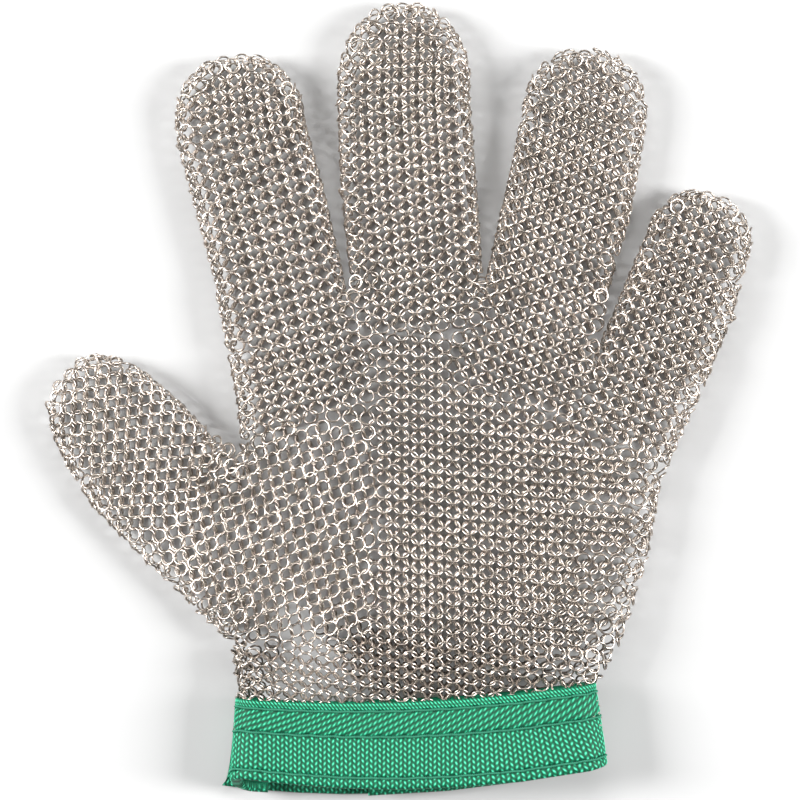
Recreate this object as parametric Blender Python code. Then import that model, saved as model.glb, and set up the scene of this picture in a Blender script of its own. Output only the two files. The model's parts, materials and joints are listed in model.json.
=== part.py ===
"""Cut resistant ring-mesh glove with a folded textile wrist band, a strap and a press stud.

The glove lies flat, palm up: +X to the little finger, +Y to the fingertips, +Z up.
The origin is on the floor under the middle of its bounding box. Lengths are in
millimetres until the meshes are made.
"""

import math

import bmesh
import bpy
from mathutils import Matrix, Vector

MM = 0.001

# ---- driving dimensions -------------------------------------------------------------
WALL = 1.8  # one layer of ring mesh
HEM_WALL = 1.2  # the same layer, pressed flat inside the folded tape
TAPE = 0.8  # one layer of the wrist tape
GAP = 0.3  # clearance between neighbouring solids
FINGER_HEIGHT = 10.0
HINGE_Z = 5.0
CORNER = 4.0  # rounding of the flattened tubes, seen along them
CORNER_STEPS = 4
BAND_LOW, BAND_HIGH = 4.6, 16.6
SLOT_FLOOR = 2.2  # depth of the tape's fold below the hem
SLIT_LEFT, SLIT_RIGHT, SLIT_TOP = (-33.0, -75.0), (-8.0, -75.0), (-28.5, -47.0)
SLIT_SPARE = 0.4  # how far the slit stands back from the ends of the tape
SLIT_POINT = 1.0  # half width of the slit at its top
SLIT_CUT_TOP = 10.0

# The folds of each finger: middle of the knuckle line, then the two joints and the tip,
# each as (x, y, width across), and the largest fold at each joint in degrees.
FINGERS = {
    "index": ((-29.7, 27.0, 31.8), (-34.6, 48.0, 31.6), (-39.8, 67.0, 31.8), (-42.2, 86.3, 0)),
    "middle": ((4.2, 30.0, 32.4), (2.2, 53.0, 33.2), (0.9, 76.0, 32.4), (1.5, 99.3, 0)),
    "ring": ((36.6, 27.0, 30.6), (42.1, 49.0, 31.0), (46.0, 69.0, 30.4), (47.6, 88.0, 0)),
    "little": ((63.6, 9.0, 29.6), (69.9, 25.0, 27.2), (74.3, 37.5, 25.6), (78.6, 51.6, 0)),
}
FOLDS = {"knuckle": (76.0, 11.0), "middle_joint": (71.0, 6.0), "end_joint": (51.0, 6.0)}
ROUND_FROM = 0.2  # share of the last segment where the tip begins to round off
TIP_STEPS = (0.0, 0.3, 0.55, 0.75, 0.9, 0.985)

# The thumb: pairs of edge points (wrist side, index side) across it.
THUMB_ROOT = ((-41.8, -60.0), (-39.0, -14.5))
THUMB_KNUCKLE = ((-61.5, -42.0), (-45.5, -11.0))
THUMB_JOINT = ((-75.6, -27.8), (-56.4, 0.2))
THUMB_ENDS = (
    ((-82.6, -17.6), (-63.6, 6.4), 1.0),
    ((-86.9, -8.0), (-70.4, 10.2), 0.92),
    ((-88.3, -1.4), (-76.4, 11.2), 0.7),
    ((-86.6, 4.4), (-80.6, 10.2), 0.4),
)
THUMB_ROOT_HEIGHT, THUMB_KNUCKLE_HEIGHT = 11.0, 10.6
THUMB_FOLDS = {"root": (41.0, 6.0), "knuckle": (51.0, 6.0), "joint": (71.0, 6.0)}

# The hand between wrist and knuckles: y, left edge, right edge, underside, top, wall.
HAND = (
    (-87.5, -40.9, 50.35, 5.65, 15.55, HEM_WALL),
    (-70.3, -39.75, 48.15, 5.65, 15.55, HEM_WALL),
    (-68.0, -40.8, 50.6, 4.6, 15.2, WALL),
    (-61.0, -41.8, 54.4, 2.2, 13.7, WALL),
    (-52.0, -46.5, 57.8, 0.4, 12.6, WALL),
    (-40.0, -47.0, 61.5, 0.0, 12.2, WALL),
    (-20.0, -46.5, 65.2, 0.0, 12.0, WALL),
    (-13.0, -39.2, 68.4, 0.0, 12.0, WALL),
    (0.0, -40.6, 74.2, 0.0, 11.6, WALL),
    (12.0, -42.9, 79.8, 0.0, 11.0, WALL),
    (32.0, -46.8, 88.0, 0.0, 10.4, WALL),
)
INDEX_MIDDLE_X, MIDDLE_RING_X = -13.0, 20.9
RING_LITTLE_X, RING_LITTLE_SLOPE = 47.6, 0.27
RING_LITTLE_Y = 9.0  # the fork between ring and little finger
FORK_Y = 27.0  # the fork of the index, middle and ring fingers

# The wrist band: three places of its top edge, and of its foot on the palm and back sides.
BAND_TOP = ((-41.0, -74.2), (0.0, -75.0), (49.0, -70.5))
BAND_FOOT = ((-42.0, -93.4), (0.0, -96.7), (52.0, -90.6))
BAND_FOOT_BACK = ((-42.0, -97.3), (-20.0, -99.0), (20.0, -96.9))
BAND_X_TOP, BAND_X_FOOT = (-41.0, 49.6), (-42.6, 52.6)
BAND_Y_TOP, BAND_Y_FOOT = -74.0, -96.0
BAND_CORNER, BAND_CORNER_STEPS = 5.2, 6
BAND_DEPTH = 2 * TAPE + HEM_WALL + 2 * (GAP - 0.05)  # two layers with the hem between
BAND_FOLD_ROUND = 1.1
BACK_XS = (SLIT_RIGHT[0], 12.0, 30.0)
STRAIGHT_FROM, STRAIGHT_TO = -34.0, 20.0  # the middle of the band, which doesn't flare
FRONT_XS_OF_BAND = (28.0, 14.0, 0.0, -14.0, -26.0)

# The strap: places along it, its thickness, and the cut corners of its end.
STRAP_LOW, STRAP_HIGH, STRAP_MIDDLE_Y = 1.1, 2.3, -86.0
STRAP_ROOT_X, STRAP_HINGE_X, STRAP_END_X = -44.8, -32.9, 14.0
STRAP_TAIL_XS = (STRAP_HINGE_X, -25.0, -15.0, -5.0, 5.0, 12.0, STRAP_END_X)
STRAP_END_CORNER = 2.0
STRAP_ROOT_LEAN = 2.2  # the root's end leans in towards its top
STRAP_BELOW_BAND = 0.6
BARTACK_X, BARTACK_YS, BARTACK_WIDTH, BARTACK_RISE = -38.5, (-79.0, -85.0, -92.0), 1.0, 1.4

# The press stud: each turned profile is (radius, z).
SNAP_AT = (6.2, -92.6)
SHANK = 1.5
SNAP_STEPS = 28
CAP_PROFILE = (
    (SHANK, 2.5),
    (SHANK, 0.8),
    (6.1, 0.8),
    (6.3, 0.55),
    (6.1, 0.2),
    (5.4, 0.0),
    (2.0, 0.0),
)
SOCKET_PROFILE = (
    (1.9, 2.6),
    (5.0, 2.6),
    (5.2, 2.9),
    (5.2, 3.7),
    (4.9, 4.0),
    (3.3, 4.0),
    (3.0, 3.7),
    (3.0, 2.95),
    (1.9, 2.95),
)
STUD_PROFILE = (
    (4.6, 4.4),
    (4.6, 4.2),
    (2.0, 4.15),
    (2.2, 3.8),
    (2.6, 3.5),
    (2.4, 3.25),
    (1.6, 3.2),
)
POST_Z = BAND_LOW + BAND_DEPTH
POST_PROFILE = (
    (3.6, POST_Z + 0.75),
    (4.4, POST_Z + 0.6),
    (4.4, POST_Z + GAP),
    (SHANK, POST_Z + GAP),
    (SHANK, 4.65),
)

# Stitching: each row's place as a share of the way from the band's top edge to its foot.
THREAD_SIZE = 0.5
THREAD_CROWN = 0.6  # width of a thread's top, as a share of its foot
STITCH_XS = (-40.0, -30.0, -20.0, -10.0, 0.0, 10.0, 20.0, 30.0, 40.0, 47.0)
STITCH_ROWS = {"stitch_upper": 0.10, "stitch_middle": 0.395, "stitch_lower": 0.87}


# ---- scene ----------------------------------------------------------------------------
def clear_scene():
    for obj in list(bpy.data.objects):
        bpy.data.objects.remove(obj, do_unlink=True)


def new_collection(name):
    collection = bpy.data.collections.new(name)
    bpy.context.scene.collection.children.link(collection)
    return collection


def make_material(name, colour, roughness, metallic):
    material = bpy.data.materials.new(name)
    material.use_nodes = True
    shader = material.node_tree.nodes["Principled BSDF"]
    shader.inputs["Base Color"].default_value = (*colour, 1.0)
    shader.inputs["Roughness"].default_value = roughness
    shader.inputs["Metallic"].default_value = metallic
    return material


clear_scene()
PARTS = new_collection("cut_resistant_glove")
CUTTERS = new_collection("cutters")
STEEL = make_material("ring_steel", (0.55, 0.52, 0.48), 0.32, 1.0)
TAPE_GREEN = make_material("green_tape", (0.02, 0.36, 0.16), 0.85, 0.0)
THREAD = make_material("green_thread", (0.10, 0.30, 0.18), 0.8, 0.0)
SNAP_METAL = make_material("snap_metal", (0.60, 0.56, 0.42), 0.3, 1.0)


# ---- meshes ---------------------------------------------------------------------------
def add_object(name, build, material=None, origin=(0.0, 0.0, 0.0)):
    """Links an object made from a bmesh in millimetres, with its origin at a given point."""
    build.normal_update()
    bmesh.ops.recalc_face_normals(build, faces=build.faces)
    if build.calc_volume(signed=True) < 0:
        bmesh.ops.reverse_faces(build, faces=build.faces)
    at = Vector(origin)
    bmesh.ops.transform(
        build,
        matrix=Matrix.Scale(MM, 4) @ Matrix.Translation(-at),
        verts=build.verts,
    )
    mesh = bpy.data.meshes.new(name)
    build.to_mesh(mesh)
    build.free()
    obj = bpy.data.objects.new(name, mesh)
    obj.location = at * MM
    if material:
        mesh.materials.append(material)
        mesh.shade_smooth()
        mesh.set_sharp_from_angle(angle=math.radians(35))
        PARTS.objects.link(obj)
    else:
        obj.hide_render = True
        obj.display_type = "WIRE"
        CUTTERS.objects.link(obj)
    return obj


def loft(rings, join_ends=False):
    """A bmesh skin over rings of equal count: its ends are joined to each other or capped."""
    build = bmesh.new()
    rows = [[build.verts.new(point) for point in ring] for ring in rings]
    pairs = list(zip(rows, rows[1:]))
    if join_ends:
        pairs.append((rows[-1], rows[0]))
    count = len(rows[0])
    for row, after in pairs:
        for i in range(count):
            j = (i + 1) % count
            build.faces.new((row[i], row[j], after[j], after[i]))
    if not join_ends:
        build.faces.new(rows[0])
        build.faces.new(rows[-1])
    return build


def cut(obj, cutter):
    modifier = obj.modifiers.new("cut_" + cutter.name, "BOOLEAN")
    modifier.operation = "DIFFERENCE"
    modifier.solver = "EXACT"
    modifier.object = cutter


def drilled(name, x, y, radius, low, high):
    """An upright round cutter."""
    build = bmesh.new()
    bmesh.ops.create_cone(
        build,
        cap_ends=True,
        segments=24,
        radius1=radius,
        radius2=radius,
        depth=high - low,
        matrix=Matrix.Translation((x, y, (low + high) / 2)),
    )
    return add_object(name, build)


# ---- flattened tubes --------------------------------------------------------------------
class Station:
    """One cross-section: a rounded rectangle standing on the line from edge a to edge b."""

    def __init__(self, a, b, low=0.0, high=FINGER_HEIGHT):
        self.a, self.b = Vector(a), Vector(b)
        self.low, self.high = low, high
        self.across = (self.b - self.a).normalized()
        self.along = Vector((-self.across.y, self.across.x))

    def ring(self, inset=0.0, back=0.0, folds=(0.0, 0.0)):
        """Points round the section. It steps back from the hinge line by half a fold each way."""
        half = (self.b - self.a).length / 2 - inset
        low, high = self.low + inset, self.high - inset
        corner = min(max(CORNER - inset, 0.8), (high - low) / 2 - 0.05, half - 0.05)
        middle = (self.a + self.b) / 2
        points = []
        quarters = ((1, 1, 0), (-1, 1, 90), (-1, -1, 180), (1, -1, 270))
        for side, up, start in quarters:
            centre_z = high - corner if up > 0 else low + corner
            for step in range(CORNER_STEPS + 1):
                angle = math.radians(start + 90 * step / CORNER_STEPS)
                u = side * (half - corner) + corner * math.cos(angle)
                z = centre_z + corner * math.sin(angle)
                fold = folds[0] if z > HINGE_Z else folds[1]
                lean = math.tan(math.radians(fold / 2)) * abs(z - HINGE_Z)
                shift = 0.0 if back == 0 else back * (GAP / 2 + lean)
                flat = middle + self.across * u + self.along * shift
                points.append((flat.x, flat.y, z))
        return points


def centre(station):
    middle = (station.a + station.b) / 2
    return (middle.x, middle.y, HINGE_Z)


def tube(name, stations, start_folds, end_folds, wall=WALL):
    """A tube open at both ends, each end leaning back from its hinge line."""
    first, last = stations[0], stations[-1]
    outer = [first.ring(0, 1, start_folds)]
    outer += [s.ring() for s in stations[1:-1]]
    outer += [last.ring(0, -1, end_folds)]
    inner = [last.ring(wall, -1, end_folds)]
    inner += [s.ring(wall) for s in reversed(stations[1:-1])]
    inner += [first.ring(wall, 1, start_folds)]
    return add_object(name, loft(outer + inner, join_ends=True), STEEL, centre(first))


def closed_tube(name, stations, start_folds, wall=WALL):
    """A tube open at its start only: the last station is the tip's small flat end."""
    first = stations[0]
    outer = [first.ring(0, 1, start_folds)] + [s.ring() for s in stations[1:]]
    inner = [first.ring(wall, 1, start_folds)] + [s.ring(wall) for s in stations[1:-1]]
    rings = list(reversed(outer)) + inner
    return add_object(name, loft(rings), STEEL, centre(first))


def finger_stations(points):
    """Stations at the knuckle line and the two joints, and the rounded tip's."""
    flat = [Vector(p[:2]) for p in points]
    runs = [(after - at).normalized() for at, after in zip(flat, flat[1:])]
    middle = (runs[0] + runs[1]).normalized()
    end = (runs[1] + runs[2]).normalized()
    lines = ((Vector((0, 1)), points[0]), (middle, points[1]), (end, points[2]))
    joints = []
    for run, (x, y, width) in lines:
        across = Vector((run.y, -run.x)) * width / 2
        joints.append(Station(Vector((x, y)) - across, Vector((x, y)) + across))
    tip = []
    for share in TIP_STEPS[1:]:
        past = max(0.0, (share - ROUND_FROM) / (1 - ROUND_FROM))
        spread = math.sqrt(1 - past**2)
        at = flat[2].lerp(flat[3], share)
        run = end.lerp(runs[2], min(1.0, 2 * share)).normalized()
        across = Vector((run.y, -run.x)) * points[2][2] / 2 * spread
        squeeze = FINGER_HEIGHT / 2 * 0.55 * (1 - math.sqrt(1 - (0.98 * past) ** 4))
        tip.append(Station(at - across, at + across, squeeze, FINGER_HEIGHT - squeeze))
    return joints, tip


def make_fingers():
    for name, points in FINGERS.items():
        (knuckle, joint, end), tip = finger_stations(points)
        tube(name + "_proximal", (knuckle, joint), FOLDS["knuckle"], FOLDS["middle_joint"])
        tube(name + "_middle", (joint, end), FOLDS["middle_joint"], FOLDS["end_joint"])
        closed_tube(name + "_tip", [end] + tip, FOLDS["end_joint"])


def make_thumb():
    root = Station(*THUMB_ROOT, 0.0, THUMB_ROOT_HEIGHT)
    knuckle = Station(*THUMB_KNUCKLE, 0.0, THUMB_KNUCKLE_HEIGHT)
    joint = Station(*THUMB_JOINT)
    ends = []
    for a, b, share in THUMB_ENDS:
        squeeze = FINGER_HEIGHT / 2 * (1 - share)
        ends.append(Station(a, b, squeeze, FINGER_HEIGHT - squeeze))
    tube("thumb_base", (root, knuckle), THUMB_FOLDS["root"], THUMB_FOLDS["knuckle"])
    tube("thumb_proximal", (knuckle, joint), THUMB_FOLDS["knuckle"], THUMB_FOLDS["joint"])
    closed_tube("thumb_tip", [joint] + ends, THUMB_FOLDS["joint"])


# ---- the hand ---------------------------------------------------------------------------
# Cutters run from below the glove to above it, and well past its edges.
UNDER_ALL, OVER_ALL = -4.0, 20.0
FAR_LEFT, FAR_RIGHT, FAR_OFF = -100.0, 120.0, 40.0
ROOT_CUT_DEPTH, ROOT_CUT_SPARE = 30.0, 1.5


def hand_stations():
    """Each cross-section of the hand with its wall."""
    stations = []
    for y, left, right, low, high, wall in HAND:
        stations.append((Station((left, y), (right, y), low, high), wall))
    return stations


def prism_across(name, outline, left, right, slope=0.0):
    """A cutter with an outline in Y and Z, run from left to right. Its left end may slant."""
    foot = outline[0][0]
    rings = [
        [(left + slope * (y - foot), y, z) for y, z in outline],
        [(right, y, z) for y, z in outline],
    ]
    return add_object(name, loft(rings))


def knuckle_cutter(name, hinge_y, left, right, slope=0.0):
    """Ends the hand at a knuckle line, leaning back from it by half of each fold."""
    above, below = (math.tan(math.radians(fold / 2)) for fold in FOLDS["knuckle"])
    beyond = hinge_y + FAR_OFF
    outline = (
        (hinge_y - GAP / 2, HINGE_Z),
        (hinge_y - GAP / 2 - above * (OVER_ALL - HINGE_Z), OVER_ALL),
        (beyond, OVER_ALL),
        (beyond, UNDER_ALL),
        (hinge_y - GAP / 2 - below * (HINGE_Z - UNDER_ALL), UNDER_ALL),
    )
    return prism_across(name, outline, left, right, slope)


def root_cutter():
    """Ends the hand at the thumb's root line in the same way."""
    station = Station(*THUMB_ROOT)
    above, below = (math.tan(math.radians(fold / 2)) for fold in THUMB_FOLDS["root"])
    outline = (
        (GAP / 2, HINGE_Z),
        (GAP / 2 + above * (OVER_ALL - HINGE_Z), OVER_ALL),
        (-ROOT_CUT_DEPTH, OVER_ALL),
        (-ROOT_CUT_DEPTH, UNDER_ALL),
        (GAP / 2 + below * (HINGE_Z - UNDER_ALL), UNDER_ALL),
    )
    rings = []
    for end, reach in ((station.a, -ROOT_CUT_SPARE), (station.b, ROOT_CUT_SPARE)):
        foot = end + station.across * reach
        rings.append([(*(foot - station.along * run), z) for run, z in outline])
    return add_object("thumb_root_cut", loft(rings))


def passage(name, a, b, reach, high):
    """A cutter for the way from the hand into a finger, from its knuckle line both ways."""
    station = Station(a, b, 0.0, high)
    rings = []
    for run in (-reach, reach):
        points = station.ring(WALL)
        rings.append([(x + station.along.x * run, y + station.along.y * run, z) for x, y, z in points])
    return add_object(name, loft(rings))


def hand_cavity():
    rings = [station.ring(wall) for station, wall in hand_stations()]
    rings.insert(0, [(x, y - 5.0, z) for x, y, z in rings[0]])
    top = FORK_Y - WALL
    last, before = rings[-1], rings[-2]
    share = (top - before[0][1]) / (last[0][1] - before[0][1])
    rings[-1] = [tuple(Vector(p).lerp(Vector(q), share)) for p, q in zip(before, last)]
    cavity = add_object("hand_cavity", loft(rings))
    foot, far = RING_LITTLE_Y - WALL, FORK_Y + FAR_OFF
    corner = (foot, UNDER_ALL), (foot, OVER_ALL), (far, OVER_ALL), (far, UNDER_ALL)
    left = RING_LITTLE_X - WALL
    cut(cavity, prism_across("little_corner", corner, left, FAR_RIGHT, RING_LITTLE_SLOPE))
    return cavity


def split_outline(above):
    """Everything above or below the surface where the palm and back panels meet."""
    offset = GAP / 2 if above else -GAP / 2
    line = [(y, (low + high) / 2 + offset) for y, _, _, low, high, _ in HAND]
    line.insert(0, (line[0][0] - FAR_OFF, line[0][1]))
    line.append((line[-1][0] + FAR_OFF, line[-1][1]))
    far = UNDER_ALL if above else OVER_ALL
    return line + [(line[-1][0], far), (line[0][0], far)]


def make_hand():
    """The palm and back panels: one pouch, divided at its edges."""
    knuckles = {name: points[0] for name, points in FINGERS.items()}
    cutters = [
        hand_cavity(),
        knuckle_cutter("index_end", knuckles["index"][1], FAR_LEFT, INDEX_MIDDLE_X),
        knuckle_cutter("middle_end", knuckles["middle"][1], INDEX_MIDDLE_X, MIDDLE_RING_X),
        knuckle_cutter("ring_end", knuckles["ring"][1], MIDDLE_RING_X, FAR_RIGHT),
        knuckle_cutter("little_end", RING_LITTLE_Y, RING_LITTLE_X, FAR_RIGHT, RING_LITTLE_SLOPE),
        root_cutter(),
        passage("thumb_way", *THUMB_ROOT, 8.0, THUMB_ROOT_HEIGHT),
    ]
    for name, (x, y, width) in knuckles.items():
        left, right = (x - width / 2, y), (x + width / 2, y)
        cutters.append(passage(name + "_way", left, right, 7.0, FINGER_HEIGHT))
    for name, above in (("palm_mesh", True), ("back_mesh", False)):
        pouch = loft([station.ring() for station, _ in hand_stations()])
        panel = add_object(name, pouch, STEEL)
        for cutter in cutters:
            cut(panel, cutter)
        half = prism_across(name + "_edge", split_outline(above), FAR_LEFT, FAR_RIGHT)
        cut(panel, half)
        if name == "back_mesh":
            cut(panel, wrist_slit())
            cut(panel, drilled("hem_hole", *SNAP_AT, SHANK + GAP, 4.0, 10.0))


def wrist_slit():
    """The upright wedge that opens the back from the wrist, under the strap."""
    (left, low), (right, _), (top_x, top) = SLIT_LEFT, SLIT_RIGHT, SLIT_TOP
    left, right = left - SLIT_SPARE, right + SLIT_SPARE
    outline = (
        (left, low - FAR_OFF),
        (right, low - FAR_OFF),
        (right, low),
        (top_x + SLIT_POINT, top),
        (top_x - SLIT_POINT, top),
        (left, low),
    )
    rings = [[(x, y, z) for x, y in outline] for z in (UNDER_ALL, SLIT_CUT_TOP)]
    return add_object("wrist_slit", loft(rings))


# ---- the wrist band -----------------------------------------------------------------------

def through(points, x):
    """The height at x of the parabola through three points."""
    (x0, y0), (x1, y1), (x2, y2) = points
    return (
        y0 * (x - x1) * (x - x2) / ((x0 - x1) * (x0 - x2))
        + y1 * (x - x0) * (x - x2) / ((x1 - x0) * (x1 - x2))
        + y2 * (x - x0) * (x - x1) / ((x2 - x0) * (x2 - x1))
    )


def band_edges(x, z):
    """Top and foot of the folded tape at a place round the wrist."""
    front = (z - BAND_LOW) / (BAND_HIGH - BAND_LOW)
    foot = front * through(BAND_FOOT, x) + (1 - front) * through(BAND_FOOT_BACK, x)
    return through(BAND_TOP, x), foot


def wrist_path():
    """Places round the wrist from one side of the slit to the other, each with its way out."""
    corner, steps = BAND_CORNER, BAND_CORNER_STEPS
    left, right = BAND_X_TOP
    path = [(x, BAND_LOW, 0, -1) for x in BACK_XS]
    for cx, start in ((right - corner, -90), (left + corner, 90)):
        for step in range(2 * steps + 1):
            angle = math.radians(start + 90 * step / steps)
            out = math.cos(angle), math.sin(angle)
            middle = BAND_LOW + corner if out[1] < 0 else BAND_HIGH - corner
            if abs(out[1]) < 1e-6:
                middle = (BAND_LOW + BAND_HIGH) / 2
            path.append((cx + corner * out[0], middle + corner * out[1], *out))
        if start < 0:
            path += [(x, BAND_HIGH, 0, 1) for x in FRONT_XS_OF_BAND]
    path.append((SLIT_LEFT[0], BAND_LOW, 0, -1))
    return path


def fold_profile(top, foot):
    """The folded tape's section as (depth from its outer face, height): a U, open at the top."""
    depth, round_over = BAND_DEPTH, BAND_FOLD_ROUND
    return (
        (0.0, top),
        (0.0, foot + round_over),
        (0.3 * round_over, foot + 0.3 * round_over),
        (round_over, foot),
        (depth - round_over, foot),
        (depth - 0.3 * round_over, foot + 0.3 * round_over),
        (depth, foot + round_over),
        (depth, top + 0.2),
        (depth - TAPE, top + 0.2),
        (depth - TAPE, foot + SLOT_FLOOR),
        (TAPE, foot + SLOT_FLOOR),
        (TAPE, top),
    )


def flared(x, y):
    """Widens the band from its top edge to its foot."""
    share = (y - BAND_Y_TOP) / (BAND_Y_FOOT - BAND_Y_TOP)
    left = BAND_X_TOP[0] + share * (BAND_X_FOOT[0] - BAND_X_TOP[0])
    right = BAND_X_TOP[1] + share * (BAND_X_FOOT[1] - BAND_X_TOP[1])
    t = (x - BAND_X_TOP[0]) / (BAND_X_TOP[1] - BAND_X_TOP[0])
    if STRAIGHT_FROM < x < STRAIGHT_TO:
        return x
    return left + t * (right - left)


def make_band():
    rings = []
    for x, z, out_x, out_z in wrist_path():
        top, foot = band_edges(x, z)
        ring = []
        for depth, y in fold_profile(top, foot):
            ring.append((flared(x, y) - depth * out_x, y, z - depth * out_z))
        rings.append(ring)
    band = add_object("cuff_band", loft(rings), TAPE_GREEN)
    cut(band, drilled("band_hole", *SNAP_AT, SHANK + GAP, 3.0, 9.5))


# ---- strap ----------------------------------------------------------------------------------


def strap_piece(name, xs, origin):
    """A flat length of tape under the band, between the given places along it."""
    rings = []
    low, high = STRAP_LOW, STRAP_HIGH
    for x in xs:
        corner = STRAP_END_CORNER if x == STRAP_END_X else 0.0
        top = through(BAND_TOP, x) - STRAP_BELOW_BAND - corner
        foot = through(BAND_FOOT_BACK, x) + corner
        top_x = x + STRAP_ROOT_LEAN if x == STRAP_ROOT_X else x
        rings.append(((x, foot, low), (top_x, top, low), (top_x, top, high), (x, foot, high)))
    return add_object(name, loft(rings), TAPE_GREEN, origin)


def make_strap():
    xs = (STRAP_ROOT_X, -40.0, STRAP_HINGE_X - GAP)
    strap_piece("strap_root", xs, (-40.0, STRAP_MIDDLE_Y, STRAP_LOW))
    tail = strap_piece("strap_tail", STRAP_TAIL_XS, (STRAP_HINGE_X, STRAP_MIDDLE_Y, STRAP_LOW))
    cut(tail, drilled("strap_hole", *SNAP_AT, SHANK + GAP, UNDER_ALL, STRAP_HIGH + 1.0))


# ---- press stud -------------------------------------------------------------------------------
def turned(name, profile, hollow=False):
    """A turned piece: its profile, down the outside, spun about the press stud's upright axis."""
    x, y = SNAP_AT
    angles = [2 * math.pi * step / SNAP_STEPS for step in range(SNAP_STEPS)]
    rings = []
    for radius, z in profile:
        rings.append([(x + radius * math.cos(a), y + radius * math.sin(a), z) for a in angles])
    skin = loft(rings, join_ends=hollow)
    return add_object(name, skin, SNAP_METAL, (x, y, profile[0][1]))


def make_snap():
    turned("snap_cap", CAP_PROFILE)
    turned("snap_socket", SOCKET_PROFILE, hollow=True)
    turned("snap_stud", STUD_PROFILE)
    turned("snap_post", POST_PROFILE)


# ---- stitching ----------------------------------------------------------------------------------


def thread_run(name, points, width, crown, rise, along_x=True):
    """A flat thread through the given points, narrower at its top than at its foot."""
    rings = []
    for x, y, z in points:
        ring = []
        for side, up in ((-1, 0), (1, 0), (1, 1), (-1, 1)):
            beside = side * width / 2 * (crown if up else 1.0)
            out = (0.0, beside) if along_x else (beside, 0.0)
            ring.append((x + out[0], y + out[1], z + up * rise))
        rings.append(ring)
    return add_object(name, loft(rings), THREAD, points[0])


def make_stitching():
    for name, share in STITCH_ROWS.items():
        points = []
        for x in STITCH_XS:
            top, foot = band_edges(x, BAND_HIGH)
            points.append((x, top + share * (foot - top), BAND_HIGH + GAP - 0.05))
        thread_run(name, points, THREAD_SIZE, THREAD_CROWN, THREAD_SIZE)
    points = [(BARTACK_X, y, STRAP_HIGH + GAP) for y in BARTACK_YS]
    thread_run("strap_bartack", points, BARTACK_WIDTH, 1.0, BARTACK_RISE, along_x=False)


# ---- assembly ------------------------------------------------------------------------------------
def moving_chains():
    """Each chain of pieces from the hand outwards: a piece moves with the one before it."""
    for name in FINGERS:
        yield name + "_proximal", name + "_middle", name + "_tip"
    yield "thumb_base", "thumb_proximal", "thumb_tip"
    yield "strap_tail", "snap_cap"
    yield "strap_tail", "snap_socket"


def hang(obj, parent, places):
    obj.parent = parent
    obj.location = places[obj.name] - places[parent.name]


def assemble():
    """Hangs each moving piece on the one that carries it, and the rest on the glove's frame."""
    bpy.context.view_layer.update()
    graph = bpy.context.evaluated_depsgraph_get()
    corners = []
    for obj in PARTS.objects:
        shown = obj.evaluated_get(graph)
        corners += [shown.matrix_world @ Vector(corner) for corner in shown.bound_box]
    low = Vector(min(c[k] for c in corners) for k in range(3))
    high = Vector(max(c[k] for c in corners) for k in range(3))
    frame = bpy.data.objects.new("glove_frame", None)
    PARTS.objects.link(frame)
    places = {obj.name: obj.location.copy() for obj in bpy.data.objects}
    for chain in moving_chains():
        for parent, child in zip(chain, chain[1:]):
            hang(bpy.data.objects[child], bpy.data.objects[parent], places)
    for obj in list(PARTS.objects) + list(CUTTERS.objects):
        if obj.parent is None and obj is not frame:
            hang(obj, frame, places)
    frame.location = Vector((-(low.x + high.x) / 2, -(low.y + high.y) / 2, 0.0))


make_hand()
make_fingers()
make_thumb()
make_band()
make_strap()
make_snap()
make_stitching()
assemble()
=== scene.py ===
"""A cut resistant glove of steel ring mesh with a green wrist band, lying palm up.

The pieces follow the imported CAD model. The mesh is made of whole steel rings, linked with
their neighbours and laid over the surface of the CAD solids.
Lengths are in millimetres until a mesh is made."""

import json
import math

import bpy
import numpy as np
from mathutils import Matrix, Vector
from mathutils.bvhtree import BVHTree

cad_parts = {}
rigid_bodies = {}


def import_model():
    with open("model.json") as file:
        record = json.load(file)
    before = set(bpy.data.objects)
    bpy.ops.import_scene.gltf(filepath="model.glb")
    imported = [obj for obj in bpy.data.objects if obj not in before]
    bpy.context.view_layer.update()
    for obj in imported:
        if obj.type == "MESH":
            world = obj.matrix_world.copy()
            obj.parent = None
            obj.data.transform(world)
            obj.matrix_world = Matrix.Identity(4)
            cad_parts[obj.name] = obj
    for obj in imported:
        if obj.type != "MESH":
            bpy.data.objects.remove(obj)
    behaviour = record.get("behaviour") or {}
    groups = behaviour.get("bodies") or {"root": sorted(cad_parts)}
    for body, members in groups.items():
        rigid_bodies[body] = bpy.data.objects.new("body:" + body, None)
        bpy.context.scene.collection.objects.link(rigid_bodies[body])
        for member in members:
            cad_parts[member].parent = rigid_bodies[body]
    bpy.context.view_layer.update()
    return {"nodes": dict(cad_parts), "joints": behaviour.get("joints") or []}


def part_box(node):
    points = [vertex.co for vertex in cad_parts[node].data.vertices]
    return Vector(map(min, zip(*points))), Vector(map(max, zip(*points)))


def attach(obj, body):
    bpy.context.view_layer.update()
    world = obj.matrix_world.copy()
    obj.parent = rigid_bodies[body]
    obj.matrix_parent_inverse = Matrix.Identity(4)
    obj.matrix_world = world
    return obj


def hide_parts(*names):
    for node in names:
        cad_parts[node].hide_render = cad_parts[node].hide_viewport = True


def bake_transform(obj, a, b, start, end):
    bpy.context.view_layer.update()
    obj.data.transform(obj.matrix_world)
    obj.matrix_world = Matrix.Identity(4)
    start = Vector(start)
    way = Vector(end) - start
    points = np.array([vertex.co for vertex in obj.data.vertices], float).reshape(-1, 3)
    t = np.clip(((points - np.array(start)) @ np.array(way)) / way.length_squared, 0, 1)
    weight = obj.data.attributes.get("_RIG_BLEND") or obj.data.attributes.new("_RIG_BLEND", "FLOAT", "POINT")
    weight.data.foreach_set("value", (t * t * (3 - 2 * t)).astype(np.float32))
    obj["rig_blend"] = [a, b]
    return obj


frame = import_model()

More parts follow.
